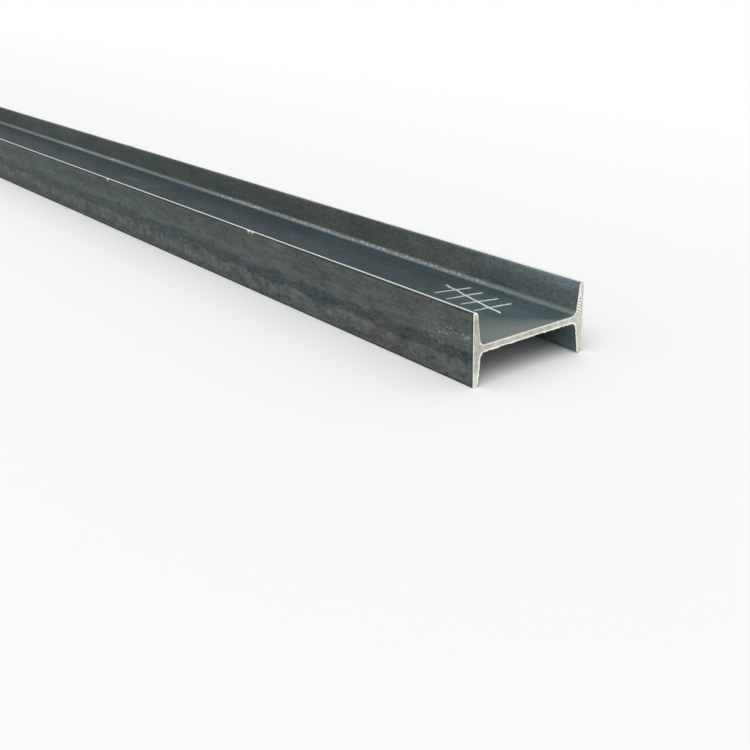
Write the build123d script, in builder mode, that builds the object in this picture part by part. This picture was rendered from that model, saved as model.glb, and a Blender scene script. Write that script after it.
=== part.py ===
# Hot-rolled steel I-beam with tapered flanges, one plain length of stock.
# It lies on the tips of its flanges with the web level, as a beam rests unheld on a floor.
# Millimetres. X runs along the beam, Y across its depth, Z up across the flange width.
# The origin is on the floor, under the middle of the beam's length and depth.

import os

from build123d import *

# Driving sizes
beam_length = 6000.0
section_depth = 200.0
flange_width = 102.0
web_thickness = 9.0
# Flange thickness half way along the overhang, between the web's face and the flange's tip
flange_thickness = 10.0
# Rise over run of the flange's inner face
flange_taper = 1 / 8
# Hollow rounding where the web meets the flange
root_radius = 9.0
# Rounding of the inner edge of the flange's tip
toe_radius = 4.5
# Slight rounding that the rolls leave on the outer edge of the flange's tip
outer_edge_radius = 1.5

# Sizes that follow from the driving ones
half_depth = section_depth / 2
half_flange = flange_width / 2
half_web = web_thickness / 2
flange_overhang = half_flange - half_web
half_taper_rise = flange_taper * flange_overhang / 2
inner_face_at_web = half_depth - flange_thickness - half_taper_rise
inner_face_at_tip = half_depth - flange_thickness + half_taper_rise
# The toe's rounding takes no more of the tip than the outer edge leaves it
tip_thickness = half_depth - inner_face_at_tip
toe_rounding = min(toe_radius, tip_thickness - outer_edge_radius)

# The section stands upright at the far end of the beam, centred on the middle of the web
section_plane = Plane(origin=(-beam_length / 2, 0, half_flange), x_dir=(0, 1, 0), z_dir=(1, 0, 0))

with BuildPart() as i_beam:
    with BuildSketch(section_plane) as rolled_section:
        Rectangle(section_depth, web_thickness)
        # One flange, thick behind the web and thinner at its two tips, then its mirror image
        with BuildLine():
            Polyline(
                (half_depth, half_flange),
                (inner_face_at_tip, half_flange),
                (inner_face_at_web, half_web),
                (inner_face_at_web, -half_web),
                (inner_face_at_tip, -half_flange),
                (half_depth, -half_flange),
                close=True,
            )
        make_face()
        mirror(about=Plane.YZ)
        # The roots are the corners nearest the middle, the outer edges the farthest, the toes between
        fillet(rolled_section.vertices().group_by(SortBy.DISTANCE)[0], root_radius)
        fillet(rolled_section.vertices().group_by(SortBy.DISTANCE)[-2], toe_rounding)
        fillet(rolled_section.vertices().group_by(SortBy.DISTANCE)[-1], outer_edge_radius)
    # Both ends are sawn square
    extrude(amount=beam_length)

i_beam.part.label = "i_beam"

os.makedirs("parts", exist_ok=True)
export_step(i_beam.part, "parts/i_beam.step")
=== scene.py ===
"""Looks of a hot-rolled steel I-beam that lies on the tips of its flanges.

The rolled faces carry blue-grey mill scale, rubbed pale along the flange tips and speckled in the roots,
with painted highlights on the tips and the fillets, painted shade lines along the edges and a painted
reflection at the web's ends.
Both ends are bare sawn steel with saw marks and a ragged burr. All places are metres in the row frame:
X runs along the beam towards the near end, Y across its depth, Z up across the flange width.
"""

import logging
import math
from dataclasses import dataclass
from enum import Enum
from functools import cached_property, reduce
from typing import Any, Union

import bpy
import numpy as np
from mathutils import Matrix, Vector


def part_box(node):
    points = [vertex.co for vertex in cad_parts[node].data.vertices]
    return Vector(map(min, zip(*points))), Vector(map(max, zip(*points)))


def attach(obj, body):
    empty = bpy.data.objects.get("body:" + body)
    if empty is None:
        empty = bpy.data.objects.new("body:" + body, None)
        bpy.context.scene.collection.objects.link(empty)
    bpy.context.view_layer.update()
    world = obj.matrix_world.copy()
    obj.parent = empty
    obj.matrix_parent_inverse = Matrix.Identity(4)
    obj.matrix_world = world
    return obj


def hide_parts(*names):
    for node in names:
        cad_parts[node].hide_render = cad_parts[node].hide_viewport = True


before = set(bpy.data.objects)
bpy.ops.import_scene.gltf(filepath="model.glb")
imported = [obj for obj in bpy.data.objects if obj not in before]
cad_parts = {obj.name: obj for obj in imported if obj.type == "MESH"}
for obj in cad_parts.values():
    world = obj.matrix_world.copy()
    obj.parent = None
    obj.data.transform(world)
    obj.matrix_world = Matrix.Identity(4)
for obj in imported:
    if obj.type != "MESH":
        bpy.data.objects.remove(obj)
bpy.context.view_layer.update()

log = logging.getLogger("beam")

MM = 0.001

Colour = tuple[float, float, float]
# Where a smooth step is 0, and where it is 1
Limits = tuple[float, float]
# A base, and how much of each further number is added to it
Weights = tuple[float, ...]

# Scale that is rubbed or flaked thin, wherever it lies
THIN_SCALE: Colour = (0.130, 0.148, 0.140)


class End(Enum):
    """The two sawn ends of the beam, by the side of X that they are on."""

    FAR = -1
    NEAR = 1


class Mask(Enum):
    """Attributes of the beam's points, each from 0 to 1, that the finishes read."""

    # Bare steel of the tips and the nicks, with a painted highlight along the tips
    TIP = "tip_wear_and_glint"
    ROOT = "root_closeness"
    OUTER = "outer_face"
    WEB = "web_face"
    RIM = "sawn_rim"
    SCOUR = "scoured_root"


def smooth(value: np.ndarray, low: float, high: float) -> np.ndarray:
    """Smooth step: t is how far the value is from low to high, and the step is 3 t^2 - 2 t^3.

    Args:
        value: Any array.
        low: Where the step is 0. It may be above high, for a falling step.
        high: Where the step is 1.

    Returns:
        An array of the same shape.
    """
    t = np.clip((value - low) / (high - low), 0, 1)
    return t * t * (3 - 2 * t)


def bell(value: np.ndarray, width: float) -> np.ndarray:
    """Bell curve that is 1 at 0 and falls to a third one width away: e to the power -(value / width)^2."""
    return np.exp(-((value / width) ** 2))


def ragged(place: np.ndarray, pitch: float, seed: int) -> np.ndarray:
    """Rough line from 0 to 1: random heights one pitch apart, joined by straight lines.

    Args:
        place: Distances along the line, in metres.
        pitch: Distance between two random heights, in metres.
        seed: Start of the random draws.

    Returns:
        The height at each place.
    """
    start = place.min() - pitch
    count = int((place.max() - start) / pitch) + 3
    heights = np.random.default_rng(seed).random(count)
    return np.interp(place, start + pitch * np.arange(count), heights)


def even(size: float) -> tuple[float, float, float]:
    """The same size along X, Y and Z."""
    return size, size, size


def new_material(name: str) -> bpy.types.Material:
    """Makes a material with a node tree.

    Args:
        name: Its name.

    Returns:
        The material.
    """
    material = bpy.data.materials.new(name)
    material.use_nodes = True
    return material


def new_object(name: str, data: bpy.types.ID) -> bpy.types.Object:
    """Makes an object and links it to the scene.

    Args:
        name: Its name.
        data: Its mesh, lamp or camera.

    Returns:
        The object.
    """
    made = bpy.data.objects.new(name, data)
    bpy.context.scene.collection.objects.link(made)
    return made


def grid_corners(grid: np.ndarray) -> np.ndarray:
    """Four corners of each cell of a grid, which faces along its second axis crossed with its first.

    Args:
        grid: Vertex numbers, or any value of the vertices, in rows and columns.

    Returns:
        One row of four corners for each cell.
    """
    return np.stack((grid[:-1, :-1], grid[:-1, 1:], grid[1:, 1:], grid[1:, :-1]), axis=-1).reshape(-1, 4)


@dataclass(frozen=True)
class RolledSection:
    """The rolled outline as (across, up) pairs in metres, centred on the middle of the web."""

    depth: float
    flange_width: float
    web_thickness: float = 9.0 * MM
    flange_thickness: float = 10.0 * MM
    flange_taper: float = 1 / 8
    root_radius: float = 9.0 * MM
    toe_radius: float = 4.5 * MM
    outer_edge_radius: float = 1.5 * MM
    point_spacing: float = 1.3 * MM
    toe_segments: int = 7
    root_half_segments: int = 4
    edge_segments: int = 4

    @property
    def half_depth(self) -> float:
        """Distance from the middle to the back of a flange."""
        return self.depth / 2

    @property
    def half_flange(self) -> float:
        """Distance from the middle to the tip of a flange."""
        return self.flange_width / 2

    @property
    def half_web(self) -> float:
        """Distance from the middle to a face of the web."""
        return self.web_thickness / 2

    @property
    def half_taper_rise(self) -> float:
        """Half of what a flange thins from the web to its tip."""
        return self.flange_taper * (self.half_flange - self.half_web) / 2

    @property
    def root_corner(self) -> np.ndarray:
        """Where the web's face and the flange's inner face meet, before the root is rounded."""
        return np.array((self.half_depth - self.flange_thickness - self.half_taper_rise, self.half_web))

    @property
    def toe_corner(self) -> np.ndarray:
        """Where the flange's inner face and its tip meet, before the toe is rounded."""
        return np.array((self.half_depth - self.flange_thickness + self.half_taper_rise, self.half_flange))

    @property
    def outer_corner(self) -> np.ndarray:
        """Where the flange's back and its tip meet, before the edge is rounded."""
        return np.array((self.half_depth, self.half_flange))

    def straight(self, start: np.ndarray, stop: np.ndarray) -> np.ndarray:
        """Evenly spaced points inside a straight stretch, without its two ends."""
        count = max(2, round(float(np.linalg.norm(stop - start)) / self.point_spacing) + 1)
        return start + np.linspace(0, 1, count)[1:-1, None] * (stop - start)

    @staticmethod
    def rounding(
        corner: np.ndarray, before: np.ndarray, after: np.ndarray, radius: float, segments: int
    ) -> np.ndarray:
        """Arc that rounds a corner, tangent to both of its sides.

        The centre is on the corner's bisector, radius / sin(half angle) from it. Each point is the
        centre plus the radius times a unit vector that turns evenly from one tangent point to the other.

        Args:
            corner: The sharp corner.
            before: A point on the side that the outline comes from.
            after: A point on the side that it leaves along.
            radius: Radius of the arc.
            segments: Number of straight pieces that stand for the arc.

        Returns:
            The arc's points, with both tangent points.
        """
        arrive = (before - corner) / np.linalg.norm(before - corner)
        leave = (after - corner) / np.linalg.norm(after - corner)
        half_angle = math.acos(float(arrive @ leave)) / 2
        bisector = (arrive + leave) / np.linalg.norm(arrive + leave)
        centre = corner + bisector * radius / math.sin(half_angle)
        reach = radius / math.tan(half_angle)
        first = (corner + arrive * reach - centre) / radius
        last = (corner + leave * reach - centre) / radius
        turn = math.acos(float(np.clip(first @ last, -1, 1)))
        share = np.linspace(0, 1, segments + 1)[:, None]
        unit = (np.sin((1 - share) * turn) * first + np.sin(share * turn) * last) / math.sin(turn)
        return centre + radius * unit

    def inner_side(self) -> tuple[np.ndarray, np.ndarray]:
        """Inner side of a flange's upper half, and half of the web's upper face.

        Returns:
            The points from the tip down to the middle of the root, and those from there to the
            middle of the web. Both hold the middle of the root.
        """
        web_middle = np.array((0.0, self.half_web))
        toe = self.rounding(
            self.toe_corner, self.outer_corner, self.root_corner, self.toe_radius, self.toe_segments
        )
        half = self.root_half_segments
        root = self.rounding(self.root_corner, self.toe_corner, web_middle, self.root_radius, 2 * half)
        flange = np.vstack((toe, self.straight(toe[-1], root[0]), root[: half + 1]))
        web = np.vstack((root[half:], self.straight(root[-1], web_middle), web_middle))
        return flange, web

    def back_side(self, count: int, lowest: float) -> np.ndarray:
        """Outer edge and back of a flange's upper half, from the tip down.

        Args:
            count: Number of points.
            lowest: Height of the last one.

        Returns:
            The points.
        """
        edge = self.rounding(
            self.outer_corner,
            self.toe_corner,
            self.outer_corner * (1, 0),
            self.outer_edge_radius,
            self.edge_segments,
        )
        heights = np.linspace(edge[-1, 1], lowest, count - len(edge) + 1)[1:]
        return np.vstack((edge, np.column_stack((np.full_like(heights, self.half_depth), heights))))


@dataclass(frozen=True)
class SectionGrid:
    """The section's area as quads, which close an end, and its border, which is carried along the beam.

    A flange is a grid of rows from its back to its inner side, and the web a grid of columns from its
    upper to its lower face. Each point is (1 - share) * one side + share * the other side.
    """

    points: np.ndarray
    faces: np.ndarray
    border: np.ndarray

    @staticmethod
    def fill(section: RolledSection, share: np.ndarray) -> tuple[np.ndarray, np.ndarray, int]:
        """Points of the +Y flange, and of the web between the middles of its roots.

        Args:
            section: The rolled outline.
            share: Where a line from side to side has its points.

        Returns:
            The flange as rows from its upper tip down, the web as columns from its +Y root on, and the
            flange's row at the middle of the upper root.
        """
        flange, web = section.inner_side()
        back = section.back_side(len(flange), flange[-1, 1])
        through_web = np.column_stack((np.ones_like(share), 1 - 2 * share))
        inner = np.vstack((flange, flange[-1] * through_web[1:-1], flange[::-1] * (1, -1)))
        outer = np.vstack((back, back[-1] * through_web[1:-1], back[::-1] * (1, -1)))
        upper_face = np.vstack((web, web[-2::-1] * (-1, 1)))
        flange_points = (1 - share)[:, None] * outer[:, None] + share[:, None] * inner[:, None]
        return flange_points, upper_face[1:-1, None] * through_web, len(flange) - 1

    @classmethod
    def divide(cls, section: RolledSection, shares: tuple[float, ...]) -> "SectionGrid":
        """Divides a section into quads.

        Args:
            section: The rolled outline.
            shares: Where a line from side to side has its points, from 0 to 1, the same from both sides.

        Returns:
            The grid. Its quads face +X, and its border runs anticlockwise as seen from +X.
        """
        flange, web, root_row = cls.fill(section, np.array(shares))
        rows, columns = flange.shape[:2]
        low_root_row = rows - 1 - root_row
        plus = np.arange(rows * columns).reshape(rows, columns)
        minus = plus + plus.size
        inside = 2 * plus.size + np.arange(len(web) * columns).reshape(-1, columns)
        meeting = slice(root_row, low_root_row + 1)
        across = np.vstack((plus[meeting, -1], inside, minus[meeting, -1]))
        points = np.vstack([part.reshape(-1, 2) for part in (flange, flange * (-1, 1), web)])
        faces = (grid_corners(plus), grid_corners(minus[:, ::-1]), grid_corners(across.T))
        border = (
            plus[::-1, 0],
            plus[0, 1:],
            plus[1 : root_row + 1, -1],
            across[1:-1, 0],
            minus[root_row:0:-1, -1],
            minus[0, ::-1],
            minus[1:, 0],
            minus[-1, 1:],
            minus[-2 : low_root_row - 1 : -1, -1],
            across[-2:0:-1, -1],
            plus[low_root_row:-1, -1],
            plus[-1, :0:-1],
        )
        return cls(points, np.vstack(faces), np.concatenate(border))

    @property
    def outline(self) -> np.ndarray:
        """The border's points, in order."""
        return self.points[self.border]

    @property
    def around(self) -> np.ndarray:
        """Distance along the border of each of its points, and the whole girth as one more value."""
        steps = np.roll(self.outline, -1, axis=0) - self.outline
        return np.concatenate(((0.0,), np.cumsum(np.linalg.norm(steps, axis=1))))

    @property
    def outward(self) -> np.ndarray:
        """Directions out of the steel, square to the line between a point's two neighbours.

        Returns:
            A unit vector for each of the border's points.
        """
        tangent = np.roll(self.outline, -1, axis=0) - np.roll(self.outline, 1, axis=0)
        normal = np.column_stack((tangent[:, 1], -tangent[:, 0]))
        return normal / np.linalg.norm(normal, axis=1)[:, None]

    @property
    def inset(self) -> np.ndarray:
        """Distance of every point from the nearest point of the border."""
        return np.linalg.norm(self.points[:, None] - self.outline[None], axis=2).min(axis=1)


@dataclass(frozen=True)
class Shell:
    """Numbering of the closed surface: the rings between the ends, then the far end, then the near one."""

    grid: SectionGrid
    ring_count: int

    @property
    def first(self) -> dict[End, int]:
        """Number of each end's first point."""
        between = (self.ring_count - 2) * len(self.grid.border)
        return {End.FAR: between, End.NEAR: between + len(self.grid.points)}

    @property
    def point_count(self) -> int:
        """Number of points of the whole surface."""
        return self.first[End.NEAR] + len(self.grid.points)

    @property
    def rings(self) -> np.ndarray:
        """Vertex numbers of every ring, from the far end's border to the near end's.

        Returns:
            One row for each ring.
        """
        far, near = self.first[End.FAR], self.first[End.NEAR]
        between = np.arange(far).reshape(-1, len(self.grid.border))
        return np.vstack((far + self.grid.border, between, near + self.grid.border))

    @property
    def faces(self) -> np.ndarray:
        """Vertex numbers of the faces: the rolled ones, the far end's and the near end's.

        Returns:
            Four numbers for each face.
        """
        closed = np.column_stack((self.rings, self.rings[:, :1]))
        far, near = self.grid.faces[:, ::-1], self.grid.faces
        return np.vstack((grid_corners(closed), self.first[End.FAR] + far, self.first[End.NEAR] + near))

    def cap(self, end: End) -> slice:
        """Vertex numbers of an end, its border included."""
        return slice(self.first[end], self.first[end] + len(self.grid.points))


@dataclass(frozen=True)
class BakeMap:
    """The beam's own UV map, with no overlap: rows of wall, one above the other, then a column of ends."""

    girth: float
    length: float
    section: RolledSection
    name: str = "OFBake"
    rows: int = 3
    gap: float = 0.004
    end_scale: float = 0.88

    @property
    def wall_scale(self) -> float:
        """Map units for a metre of wall, so that the rows and their gaps fill the map's height."""
        return (1 - (self.rows + 1) * self.gap) / (self.rows * self.girth)

    @property
    def row_starts(self) -> np.ndarray:
        """Places along the beam where a row starts, and where the last one ends."""
        return np.linspace(-self.length / 2, self.length / 2, self.rows + 1)

    def corners(self, grid: SectionGrid, along: np.ndarray) -> np.ndarray:
        """Places of all faces' corners, in the order of the shell's faces.

        Args:
            grid: The divided section.
            along: The stations.

        Returns:
            Four pairs for each face.
        """
        shape = (len(along), len(grid.around))
        stations = grid_corners(np.broadcast_to(along[:, None], shape))
        around = grid_corners(np.broadcast_to(grid.around, shape))
        far = self.end(grid.points[grid.faces[:, ::-1]], End.FAR)
        near = self.end(grid.points[grid.faces], End.NEAR)
        return np.concatenate((self.wall(stations, around), far, near))

    def wall(self, along: np.ndarray, around: np.ndarray) -> np.ndarray:
        """Places of the wall's corners: along the row, and down it with the distance round the outline.

        Args:
            along: Place along the beam of each face's four corners.
            around: Distance round the outline of each face's four corners.

        Returns:
            A pair for each corner.
        """
        starts = self.row_starts
        row = np.searchsorted(starts, along.mean(axis=1)) - 1
        top = (row + 1) * (self.gap + self.girth * self.wall_scale)
        across = self.gap + (along - starts[row][:, None]) * self.wall_scale
        return np.stack((across, top[:, None] - around * self.wall_scale), axis=-1)

    def end(self, points: np.ndarray, end: End) -> np.ndarray:
        """Places of an end's corners: the section lies on its side in the last column.

        Args:
            points: The (across, up) pair of each corner.
            end: Which end it is.

        Returns:
            A pair for each corner.
        """
        left = 2 * self.gap + self.length / self.rows * self.wall_scale
        low = self.gap + (self.gap + self.section.depth * self.end_scale) * (end is End.NEAR)
        right = self.section.half_flange - end.value * points[..., 1]
        rise = self.section.half_depth + points[..., 0]
        return np.stack((left + right * self.end_scale, low + rise * self.end_scale), axis=-1)


@dataclass(frozen=True)
class Nick:
    """A knock on the upper tip of the flange on one side of Y, which bares a spot of bright steel."""

    from_end: float
    side: int
    depth: float = 0.7 * MM
    length: float = 3.5 * MM
    reach: float = 3.0 * MM


@dataclass(frozen=True)
class Scour:
    """A stretch where the rolls left the roots speckled with bright steel."""

    from_end: float
    length: float


@dataclass(frozen=True)
class SawCut:
    """What the saw leaves on an end: a face sunk behind its rim, and a burr that hangs into the channels.

    The burr is a low ridge, which is a share of its height, with a ragged line on it. Its limits are the
    distances from a flange's back and from its tip where it starts, and where it is full. The rim's
    height is a ragged line too, read along a direction on the section.
    """

    recess: float = 0.35 * MM
    rim_width: float = 2.3 * MM
    rim_crest: float = 0.3 * MM
    rim_direction: tuple[float, float] = (1.0, 0.6)
    rim_seed: int = 31
    bare_edge: float = 0.7 * MM
    burr_length: float = 1.8 * MM
    burr_pitch: float = 2.6 * MM
    burr_ridge: float = 0.2
    upper_burr: float = 0.5 * MM
    lower_burr: float = 1.7 * MM
    burr_from_back: Limits = (4 * MM, 7 * MM)
    burr_from_tip: Limits = (1 * MM, 4 * MM)
    burr_seed: int = 11


@dataclass
class RolledBeam:
    """The beam: its section carried along X as one closed surface, with the marks of rolling and sawing.

    Nicks and scours are placed by their distance from the near end. Each wave has a length along the beam
    and a number of turns round the section.

    The last fields say where the masks start and where they are full: the tip's wear and painted highlight
    below the flange's tip and in from its back, the outer face in from the back, and the web's face up from
    the web. The root's mask is a circle round a place over the root's corner.
    """

    node: str
    length: float
    web_height: float
    section: RolledSection
    cut: SawCut = SawCut()
    name: str = "rolled_beam"
    nicks: tuple[Nick, ...] = (
        Nick(0.545, -1),
        Nick(0.533, -1, depth=0.5 * MM),
        Nick(1.093, -1),
        Nick(1.77, 1),
        Nick(2.62, -1),
        Nick(3.41, 1),
        Nick(4.38, -1),
        Nick(5.16, 1),
    )
    scours: tuple[Scour, ...] = (
        Scour(0.33, 0.15),
        Scour(0.60, 0.12),
        Scour(0.90, 0.10),
        Scour(1.62, 0.20),
        Scour(2.75, 0.14),
        Scour(3.60, 0.24),
        Scour(4.90, 0.16),
    )
    shares: tuple[float, ...] = (0, 0.07, 0.18, 0.36, 0.64, 0.82, 0.93, 1)
    station_spacing: float = 110 * MM
    least_spacing: float = 0.3 * MM
    end_steps: tuple[float, ...] = (0.6 * MM, 1.2 * MM, 1.9 * MM, 3 * MM, 5 * MM, 9 * MM, 16 * MM, 28 * MM)
    nick_steps: tuple[float, ...] = (-7 * MM, -3.5 * MM, -1.6 * MM, 0, 1.6 * MM, 3.5 * MM, 7 * MM)
    waviness: float = 0.12 * MM
    waves: tuple[tuple[float, int], ...] = ((0.83, 2), (0.5312, -3))
    # Strength of the tips' wear and of the painted highlight on them
    tip_wear_and_glint: float = 0.85
    tip_down: Limits = (0.6 * MM, 0.1 * MM)
    tip_in: Limits = (1.0 * MM, 1.9 * MM)
    back_in: Limits = (1.3 * MM, 0.4 * MM)
    web_up: Limits = (9 * MM, 1 * MM)
    root_centre: tuple[float, float] = (-0.5 * MM, 3.7 * MM)
    root_reach: float = 8.0 * MM

    @classmethod
    def from_node(cls, node: str) -> "RolledBeam":
        """Takes the overall sizes from a CAD node's box.

        Args:
            node: Name of the node that the beam stands for.

        Returns:
            The beam.
        """
        low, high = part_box(node)
        size = high - low
        section = RolledSection(depth=size.y, flange_width=size.z)
        return cls(node, size.x, (low.z + high.z) / 2, section)

    def stations(self, row_starts: np.ndarray) -> np.ndarray:
        """Places along the beam that carry a ring of points, from the far end to the near one.

        Args:
            row_starts: Places where a new row of the UV map starts.

        Returns:
            Their X, with the rings of the ends and the nicks close together and the rest evenly between.
        """
        half = self.length / 2
        steps = np.array((0.0, *self.end_steps))
        at_nicks = [half - nick.from_end + np.array(self.nick_steps) for nick in self.nicks]
        fixed = np.unique(np.concatenate((steps - half, half - steps, row_starts, *at_nicks)))
        fixed = fixed[np.concatenate(((True,), np.diff(fixed) > self.least_spacing))]
        gaps = zip(fixed[:-1], fixed[1:])
        rings = [np.linspace(a, b, math.ceil((b - a) / self.station_spacing) + 1)[:-1] for a, b in gaps]
        return np.concatenate((*rings, fixed[-1:]))

    def inner_share(self, grid: SectionGrid) -> np.ndarray:
        """How far each of the border's points is inside a channel, from its smooth steps across and up.

        Args:
            grid: The divided section.

        Returns:
            1 inside the channels, and 0 on the backs and the tips of the flanges.
        """
        across, up = np.abs(grid.outline).T
        from_back = self.section.half_depth - across
        from_tip = self.section.half_flange - up
        return smooth(from_back, *self.cut.burr_from_back) * smooth(from_tip, *self.cut.burr_from_tip)

    def burr(self, grid: SectionGrid, end: End) -> np.ndarray:
        """Height of the burr: most * inner share * (ridge + (1 - ridge) * ragged line squared).

        Args:
            grid: The divided section.
            end: Which end it is on.

        Returns:
            The height at each point of the border, 0 on the backs and the tips of the flanges.
        """
        cut = self.cut
        most = np.where(grid.outline[:, 1] < 0, cut.lower_burr, cut.upper_burr)
        line = ragged(grid.around[:-1], cut.burr_pitch, cut.burr_seed + end.value)
        return most * self.inner_share(grid) * (cut.burr_ridge + (1 - cut.burr_ridge) * line**2)

    def dents(self, grid: SectionGrid, along: np.ndarray) -> np.ndarray:
        """Depth of the nicks: for each, its depth times a bell along the beam and one about the tip.

        Args:
            grid: The divided section.
            along: The stations.

        Returns:
            The depths, as stations by outline points.
        """
        tip = self.section.outer_corner - (self.section.outer_edge_radius, 0)
        from_end = self.length / 2 - along[:, None]
        total = np.zeros((len(along), len(grid.border)))
        for nick in self.nicks:
            off_tip = np.linalg.norm(grid.outline - tip * (nick.side, 1), axis=1)
            total += nick.depth * bell(from_end - nick.from_end, nick.length) * bell(off_tip, nick.reach)
        return total

    def wall(self, grid: SectionGrid, along: np.ndarray) -> np.ndarray:
        """Points of the rolled faces: P(x, s) = (x, outline(s) + outward(s) * rise(x, s)).

        The rise is a slow wave that stays under the true surface, less the nicks, plus the burr,
        which grows over the last stretch before each end.

        Args:
            grid: The divided section.
            along: The stations.

        Returns:
            The points, as stations by outline points by XYZ.
        """
        x = along[:, None]
        share = grid.around[:-1] / grid.around[-1]
        wave = sum(np.sin(2 * math.pi * (x / length + turns * share)) for length, turns in self.waves)
        rise = -self.waviness * (1 + wave / len(self.waves)) - self.dents(grid, along)
        for end in End:
            gap = self.length / 2 - end.value * x
            rise += (1 - smooth(gap, 0, self.cut.burr_length)) * self.burr(grid, end)
        most = self.section.outer_corner
        flat = np.clip(grid.outline + rise[..., None] * grid.outward, -most, most)
        return np.concatenate((np.broadcast_to(x, rise.shape)[..., None], flat), axis=-1)

    def sawn_face(self, grid: SectionGrid, end: End) -> np.ndarray:
        """X of an end's points: the face is sunk, and its rim rises raggedly to the beam's full length.

        Args:
            grid: The divided section.
            end: Which end it is.

        Returns:
            One X for each point of the grid.
        """
        cut = self.cut
        rim = 1 - smooth(grid.inset, 0, cut.rim_width)
        lift = ragged(grid.points @ np.array(cut.rim_direction), cut.burr_pitch, cut.rim_seed + end.value)
        return end.value * (self.length / 2 - cut.recess * (1 - rim * (1 + lift) / 2))

    def wall_masks(self, grid: SectionGrid, along: np.ndarray) -> dict[Mask, np.ndarray]:
        """Masks of the rolled faces: smooth steps of the places on the section, and bells along the beam.

        Args:
            grid: The divided section.
            along: The stations.

        Returns:
            The values of each mask, as stations by outline points.
        """
        across, up = np.abs(grid.outline).T
        from_back = self.section.half_depth - across
        from_tip = self.section.half_flange - up
        # Rubbed tip, which also carries a painted highlight
        tip = self.tip_wear_and_glint * smooth(from_tip, *self.tip_down) * smooth(from_back, *self.tip_in)
        web = smooth(up - self.section.half_web, *self.web_up) * (from_back > self.section.toe_radius)
        root_centre = self.section.root_corner + self.root_centre
        off_root = np.hypot(across - root_centre[0], up - root_centre[1])
        from_end = self.length / 2 - along[:, None]
        scour = sum(bell(from_end - scour.from_end, scour.length) for scour in self.scours)
        bare = self.dents(grid, along) / max(nick.depth for nick in self.nicks)
        nearest = self.length / 2 - np.abs(along)[:, None]
        rim = self.cut.bare_edge + (self.cut.burr_length - self.cut.bare_edge) * self.inner_share(grid)
        masks = {
            Mask.TIP: tip + bare,
            Mask.ROOT: 1 - off_root / self.root_reach,
            Mask.OUTER: smooth(from_back, *self.back_in),
            Mask.WEB: web,
            Mask.RIM: 1 - smooth(nearest, 0, rim),
            Mask.SCOUR: scour,
        }
        shape = (len(along), len(across))
        return {mask: np.broadcast_to(np.clip(values, 0, 1), shape) for mask, values in masks.items()}

    def places(self, shell: Shell, along: np.ndarray) -> np.ndarray:
        """XYZ of every point. On an end's border the rolled faces set Y and Z, and the sawn face sets X.

        Args:
            shell: The numbering of the points.
            along: The stations.

        Returns:
            The places, one row for each point.
        """
        places = np.empty((shell.point_count, 3))
        for end in End:
            places[shell.cap(end), 1:] = shell.grid.points
        places[shell.rings] = self.wall(shell.grid, along)
        for end in End:
            places[shell.cap(end), 0] = self.sawn_face(shell.grid, end)
        return places + (0, 0, self.web_height)

    def masks(self, shell: Shell, along: np.ndarray) -> dict[Mask, np.ndarray]:
        """Masks of every point. On the sawn faces only the rim has one, a smooth step of the inset.

        Args:
            shell: The numbering of the points.
            along: The stations.

        Returns:
            The values of each mask, one for each point.
        """
        masks = {mask: np.zeros(shell.point_count) for mask in Mask}
        for mask, values in self.wall_masks(shell.grid, along).items():
            masks[mask][shell.rings] = values
        rim = 1 - smooth(shell.grid.inset, self.cut.rim_crest, self.cut.rim_width)
        for end in End:
            masks[Mask.RIM][shell.cap(end)] = rim
        return masks

    def build(self) -> bpy.types.Object:
        """Makes the beam: the rolled faces and the two sawn faces share the ends' borders.

        Returns:
            The object, at the origin, with its masks and its UV map.
        """
        grid = SectionGrid.divide(self.section, self.shares)
        bake = BakeMap(grid.around[-1], self.length, self.section)
        along = self.stations(bake.row_starts)
        shell = Shell(grid, len(along))
        mesh = self.make_mesh(self.places(shell, along), shell.faces)
        layer = mesh.uv_layers.new(name=bake.name)
        layer.uv.foreach_set("vector", bake.corners(grid, along).astype(np.float32).ravel())
        for mask, values in self.masks(shell, along).items():
            attribute = mesh.attributes.new(mask.value, "FLOAT", "POINT")
            attribute.data.foreach_set("value", values.astype(np.float32))
        self.sharpen(mesh, shell.rings[[0, -1]])
        sawn = np.zeros(len(mesh.polygons), np.int32)
        sawn[-2 * len(grid.faces) :] = 1
        mesh.polygons.foreach_set("material_index", sawn)
        return new_object(self.name, mesh)

    def make_mesh(self, places: np.ndarray, faces: np.ndarray) -> bpy.types.Mesh:
        """Puts points and faces into a mesh.

        Args:
            places: XYZ of each point.
            faces: Four vertex numbers for each face.

        Returns:
            The mesh, shaded smooth.
        """
        mesh = bpy.data.meshes.new(self.name)
        mesh.vertices.add(len(places))
        mesh.vertices.foreach_set("co", places.astype(np.float32).ravel())
        mesh.loops.add(faces.size)
        mesh.loops.foreach_set("vertex_index", faces.astype(np.int32).ravel())
        mesh.polygons.add(len(faces))
        mesh.polygons.foreach_set("loop_start", np.arange(0, faces.size, 4, dtype=np.int32))
        mesh.update(calc_edges=True)
        mesh.polygons.foreach_set("use_smooth", np.ones(len(faces), bool))
        return mesh

    @staticmethod
    def sharpen(mesh: bpy.types.Mesh, borders: np.ndarray) -> None:
        """Makes the edges between the rolled and the sawn faces sharp.

        Args:
            mesh: The beam's mesh.
            borders: Vertex numbers of both ends' borders.
        """
        on_border = np.zeros(len(mesh.vertices), bool)
        on_border[borders] = True
        ends = np.empty(2 * len(mesh.edges), np.int32)
        mesh.edges.foreach_get("vertices", ends)
        sharp = mesh.attributes.new("sharp_edge", "BOOLEAN", "EDGE")
        sharp.data.foreach_set("value", on_border[ends.reshape(-1, 2)].all(axis=1))

    def dress(self, beam: bpy.types.Object) -> None:
        """Gives the beam its two finishes and ties it to the frame.

        Args:
            beam: The object that build() made.
        """
        beam.data.materials.append(MillScale(self).material())
        beam.data.materials.append(SawnSteel(self).material())
        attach(beam, "root")
        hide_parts(self.node)


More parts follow.
